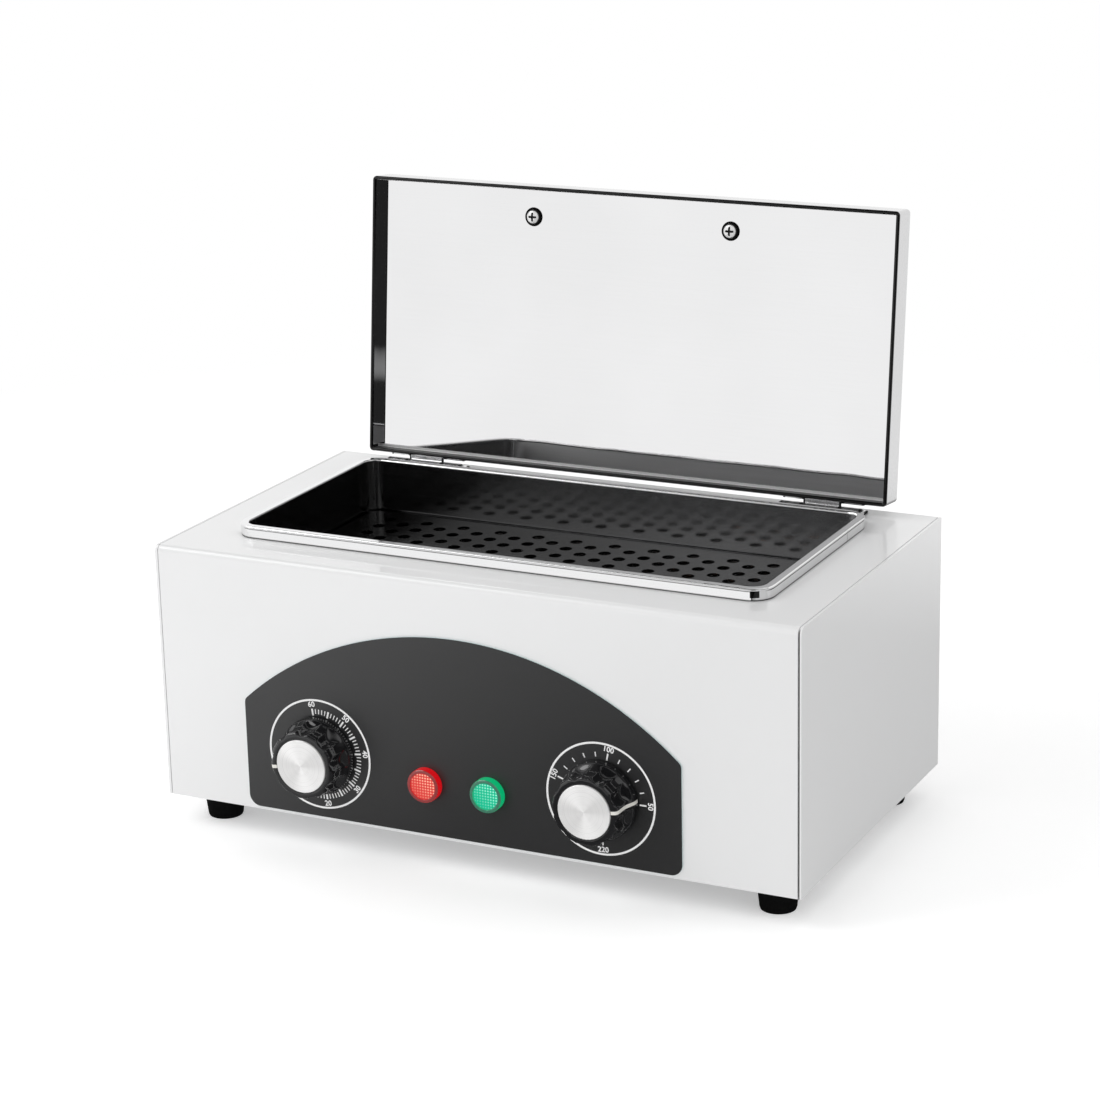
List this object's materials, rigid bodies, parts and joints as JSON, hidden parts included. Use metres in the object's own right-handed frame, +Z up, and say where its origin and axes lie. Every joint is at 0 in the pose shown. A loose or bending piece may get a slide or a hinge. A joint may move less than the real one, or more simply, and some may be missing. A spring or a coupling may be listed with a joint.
{
  "type": "dry heat sterilizer",
  "caption": "Bench dry heat sterilizer: white steel housing, open hinged lid with polished lining, sunk chamber with perforated tray, arched panel with knobs and lamps.",
  "frame": {"origin": "under the middle of the appliance with its lid open, on the surface that the feet stand on", "axes": "+X along the housing to the right as seen from the front, +Y to the back, +Z up"},
  "size_m": [0.313, 0.2292, 0.2733],
  "materials": {
    "white_paint": "glossy off-white stoved paint",
    "zinc_steel": "zinc-plated steel",
    "black_rubber": "matt black rubber",
    "stainless": "bright stainless steel",
    "chrome_trim": "chrome plate",
    "mineral_wool": "felted mineral fibre",
    "tray_steel": "heat-tinted perforated steel",
    "heater_sheath": "oxidised heater sheath",
    "ceramic": "glazed steatite",
    "copper": "drawn copper tube",
    "charcoal_panel": "matt charcoal panel with white print",
    "tan_plastic": "moulded phenolic",
    "black_gloss": "glossy black moulding",
    "spun_aluminium": "spun aluminium",
    "red_lens": "clear red prism lens",
    "green_lens": "clear green prism lens",
    "white_nylon": "white nylon",
    "mirror_stainless": "mirror-polished stainless steel"
  },
  "bodies": {
    "housing": {"housing_wrap": "white_paint", "side_panel_left": "white_paint", "side_panel_right": "white_paint", "rear_panel": "white_paint", "base_plate": "zinc_steel", "housing_screws": "zinc_steel", "cord_grommet": "black_rubber", "feet": "black_rubber", "foot_screws": "zinc_steel", "chamber_tank": "stainless", "chamber_rim": "chrome_trim", "chamber_insulation": "mineral_wool", "tray_rails": "stainless", "heater_element": "heater_sheath", "heater_clips": "stainless", "heater_bushings": "ceramic", "thermostat_capillary": "copper", "control_panel": "charcoal_panel", "thermostat_body": "tan_plastic", "timer_body": "zinc_steel", "bushing_nuts": "zinc_steel", "lamp_red_lens": "red_lens", "lamp_red_body": "white_nylon", "lamp_green_lens": "green_lens", "lamp_green_body": "white_nylon", "terminal_block": "ceramic", "hinge_body_leaves": "chrome_trim", "hinge_pins": "chrome_trim", "hinge_rivets": "chrome_trim"},
    "lid": {"lid_pan": "stainless", "lid_liner": "mirror_stainless", "lid_insulation": "mineral_wool", "lid_handle": "black_gloss", "lid_screws": "chrome_trim", "hinge_lid_leaves": "chrome_trim"},
    "thermostat_dial": {"thermostat_shaft": "stainless", "thermostat_knob": "black_gloss", "thermostat_cap": "spun_aluminium"},
    "timer_dial": {"timer_shaft": "stainless", "timer_knob": "black_gloss", "timer_cap": "spun_aluminium"},
    "tray": {"tray": "tray_steel"}
  },
  "joints": [
    {"name": "lid_hinge", "type": "hinge", "parent": "housing", "child": "lid", "pos_m": [0, 0.06198, 0.13605], "axis": [1, 0, 0], "range_deg": [0, 96]},
    {"name": "thermostat_turn", "type": "hinge", "parent": "housing", "child": "thermostat_dial", "pos_m": [0.0645, -0.10662, 0.0456], "axis": [0, -1, 0], "range_deg": [-7, 263]},
    {"name": "timer_turn", "type": "hinge", "parent": "housing", "child": "timer_dial", "pos_m": [-0.0745, -0.10662, 0.0456], "axis": [0, -1, 0], "range_deg": [0, 270]},
    {"name": "tray_lift", "type": "slide", "parent": "housing", "child": "tray", "axis": [0, 0, 1], "range_m": [0, 0.022]}
  ]
}
